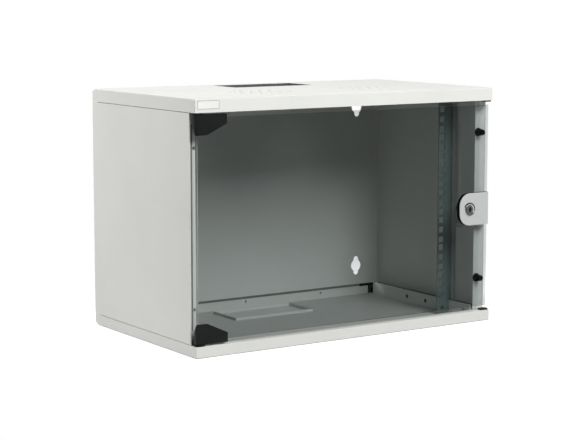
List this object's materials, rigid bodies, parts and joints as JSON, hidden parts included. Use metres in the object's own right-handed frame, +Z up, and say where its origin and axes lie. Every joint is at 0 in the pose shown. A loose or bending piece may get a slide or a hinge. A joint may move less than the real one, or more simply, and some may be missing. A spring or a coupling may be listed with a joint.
{
  "type": "wall mount network cabinet",
  "caption": "Shallow wall mount network cabinet with a sheet steel enclosure, rack rails, cable entries and a locking frameless glass door.",
  "frame": {"origin": "middle of the underside of the cabinet", "axes": "+Z up, +Y towards the wall at the rear, +X to the right seen from the front"},
  "size_m": [0.54, 0.3123, 0.37],
  "materials": {
    "painted_steel": "light grey powder coat, satin",
    "rail_steel": "light grey powder coat, satin",
    "zinc_steel": "zinc plated",
    "black_plastic": "fine matt texture",
    "black_rubber": "matt",
    "glass": "clear toughened float glass with a slight grey-green tint, polished edges",
    "lock_paint": "satin silver-grey",
    "lock_chrome": "polished",
    "label": "plain blank label"
  },
  "bodies": {
    "cabinet": {"bottom_tray": "painted_steel", "top_tray": "painted_steel", "side_panel_left": "painted_steel", "side_panel_right": "painted_steel", "rear_panel": "painted_steel", "depth_bracket_lower_left": "rail_steel", "depth_bracket_upper_left": "rail_steel", "depth_bracket_lower_right": "rail_steel", "depth_bracket_upper_right": "rail_steel", "rack_rail_left": "rail_steel", "rack_rail_right": "rail_steel", "rear_panel_screws": "zinc_steel", "rail_bolts": "zinc_steel", "rail_nuts": "zinc_steel", "pivot_bush_lower_left": "black_plastic", "pivot_bush_upper_left": "black_plastic", "pivot_bush_lower_right": "black_plastic", "pivot_bush_upper_right": "black_plastic", "door_buffer_lower": "black_rubber", "door_buffer_upper": "black_rubber", "blank_label": "label"},
    "door": {"glass_pane": "glass", "hinge_lower_shell": "black_plastic", "hinge_lower_gasket": "black_rubber", "hinge_lower_plate": "zinc_steel", "hinge_lower_grub_screws": "zinc_steel", "hinge_lower_pin": "zinc_steel", "hinge_upper_shell": "black_plastic", "hinge_upper_gasket": "black_rubber", "hinge_upper_plate": "zinc_steel", "hinge_upper_grub_screws": "zinc_steel", "hinge_upper_pin": "zinc_steel", "lock_plate": "lock_paint", "lock_gasket": "black_rubber", "lock_barrel": "lock_chrome", "lock_nut": "lock_chrome"},
    "lock_core": {"lock_plug": "lock_chrome", "lock_cam": "zinc_steel", "lock_cam_screw": "zinc_steel"}
  },
  "joints": [
    {"name": "door_hinge", "type": "hinge", "parent": "cabinet", "child": "door", "pos_m": [-0.2615, -0.15, 0.0192], "axis": [0, 0, -1], "range_deg": [0, 180]},
    {"name": "lock_turn", "type": "hinge", "parent": "door", "child": "lock_core", "pos_m": [0.228, -0.154, 0.18], "axis": [0, -1, 0], "range_deg": [0, 90]}
  ]
}
